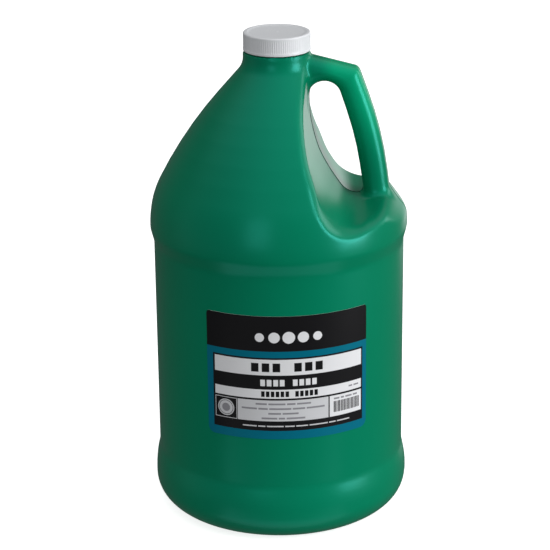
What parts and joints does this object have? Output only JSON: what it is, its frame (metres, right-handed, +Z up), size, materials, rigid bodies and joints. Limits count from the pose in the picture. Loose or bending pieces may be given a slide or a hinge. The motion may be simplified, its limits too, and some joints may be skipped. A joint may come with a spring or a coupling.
{
  "type": "paint jug",
  "caption": "Round plastic paint jug with a hollow side handle, a ribbed screw cap with its liner, a curved front label and its filling of paint.",
  "frame": {"origin": "middle of the standing ring, on the surface that the jug stands on", "axes": "+Z up through the middle of the cap, +X towards the handle, -Y towards the label"},
  "size_m": [0.157, 0.157, 0.2981],
  "materials": {
    "jug_plastic": "satin natural polyethylene, coloured by the green paint behind it",
    "paint_fill": "wet green paint",
    "cap_plastic": "satin white polypropylene",
    "liner_foam": "white foam disc with a smooth face",
    "label_film": "printed film, slightly glossy"
  },
  "bodies": {
    "jug": {"jug_body": "jug_plastic", "paint": "paint_fill", "front_label": "label_film"},
    "liner": {"cap_liner": "liner_foam"},
    "cap": {"screw_cap": "cap_plastic"}
  },
  "joints": [
    {"name": "cap_lift", "type": "slide", "parent": "jug", "child": "liner", "axis": [0, 0, 1], "range_m": [0, 0.0128]},
    {"name": "cap_turn", "type": "hinge", "parent": "liner", "child": "cap", "pos_m": [0, 0, 0.2927], "axis": [0, 0, 1], "range_deg": [0, 1080]}
  ],
  "couplings": [
    {"joint": "cap_lift", "follows": "cap_turn", "m_per_rad": 0.00067376}
  ]
}
